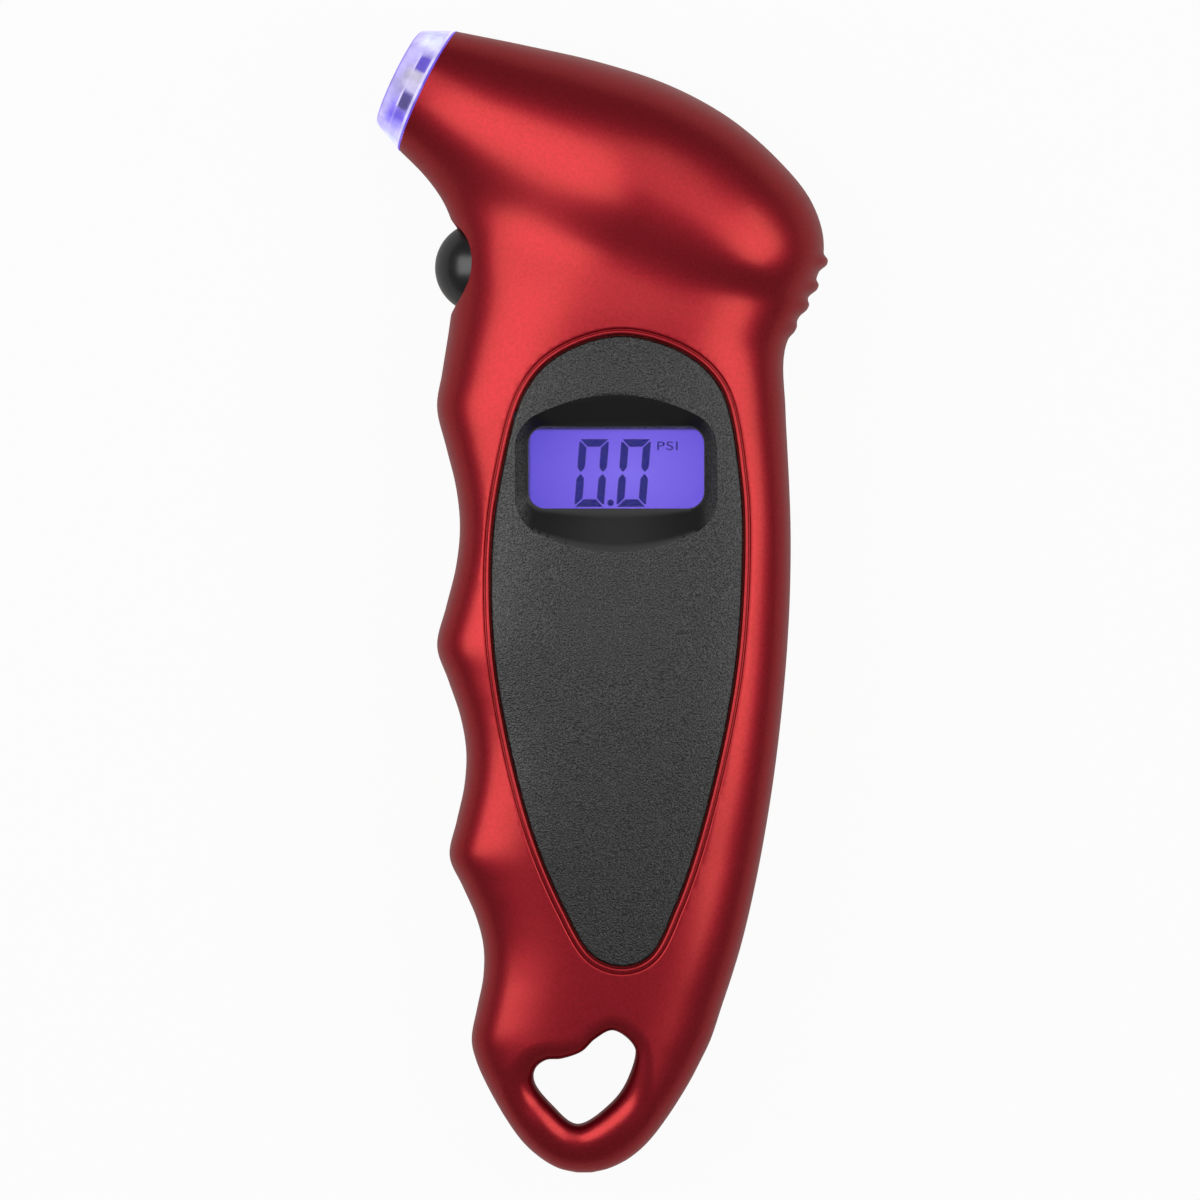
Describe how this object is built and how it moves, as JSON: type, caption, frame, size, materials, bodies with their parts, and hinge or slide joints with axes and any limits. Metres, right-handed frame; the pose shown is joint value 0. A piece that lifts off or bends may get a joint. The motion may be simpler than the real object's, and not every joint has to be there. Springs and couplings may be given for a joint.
{
  "type": "tyre pressure gauge",
  "caption": "Pistol-shaped hand-held digital gauge with a lit valve nozzle, a backlit display, a side button, finger grooves and a key-ring hole.",
  "frame": {"origin": "middle of the footprint, on the flat that the gauge lies on", "axes": "+Z out of the display, +Y along the body towards the nozzle head, +X towards the thumb pips"},
  "size_m": [0.0606, 0.1546, 0.0304],
  "materials": {
    "black_plastic": "moulded nylon",
    "brass": "turned",
    "button_gloss": "moulded ABS, mirror-polished tool",
    "ceramic": "fired ceramic",
    "circuit_board": "glass-epoxy board with green solder mask",
    "clear_acrylic": "clear acrylic, polished",
    "epoxy": "cast epoxy",
    "lcd_glass": "liquid-crystal glass, lit blue-violet from behind",
    "led_clear": "clear epoxy lamp body",
    "nickel": "nickel-plated",
    "panel_plastic": "moulded ABS with a fine spark-eroded grain",
    "red_paint": "satin metallic red paint on moulded ABS",
    "rubber": "moulded nitrile rubber",
    "screw_steel": "zinc-plated, cross recess",
    "silicone": "extruded silicone",
    "white_plastic": "moulded white ABS",
    "window_clear": "clear polycarbonate lens",
    "wire_insulation": "PVC insulation"
  },
  "bodies": {
    "housing": {"nozzle_collar": "clear_acrylic", "valve_inlet": "nickel", "valve_seal": "rubber", "depressor_pin": "brass", "nozzle_led_1": "led_clear", "nozzle_led_2": "led_clear", "front_shell": "red_paint", "rear_shell": "red_paint", "display_panel": "panel_plastic", "display_window": "window_clear", "lcd_glass": "lcd_glass", "lcd_holder": "white_plastic", "backlight_guide": "clear_acrylic", "backlight_led": "led_clear", "lcd_contact_strip": "rubber", "main_board": "circuit_board", "controller_blob": "epoxy", "crystal_can": "nickel", "power_capacitor": "black_plastic", "filter_capacitor": "ceramic", "pressure_sensor": "black_plastic", "pressure_hose": "silicone", "tact_switch": "nickel", "led_wire_1": "wire_insulation", "led_wire_2": "wire_insulation", "coin_cell": "nickel", "button_cell_1": "nickel", "button_cell_2": "nickel", "button_cell_3": "nickel", "coin_contact_minus": "nickel", "coin_contact_plus": "nickel", "cell_contact_minus": "nickel", "cell_contact_plus": "nickel", "case_screw_1": "screw_steel", "case_screw_2": "screw_steel", "case_screw_3": "screw_steel", "board_screw_1": "screw_steel", "board_screw_2": "screw_steel", "board_screw_3": "screw_steel"},
    "button": {"button_cap": "button_gloss", "switch_plunger": "black_plastic"},
    "door": {"battery_door": "red_paint", "battery_door_screw_1": "screw_steel", "battery_door_screw_2": "screw_steel"}
  },
  "joints": [
    {"name": "button_press", "type": "slide", "parent": "housing", "child": "button", "axis": [1, 0, 0], "range_m": [0, 0.0008], "stiffness_N_per_m": 2500, "springref_m": -0.0003},
    {"name": "battery_door_lift", "type": "slide", "parent": "housing", "child": "door", "axis": [0, 0, -1], "range_m": [0, 0.02]}
  ]
}
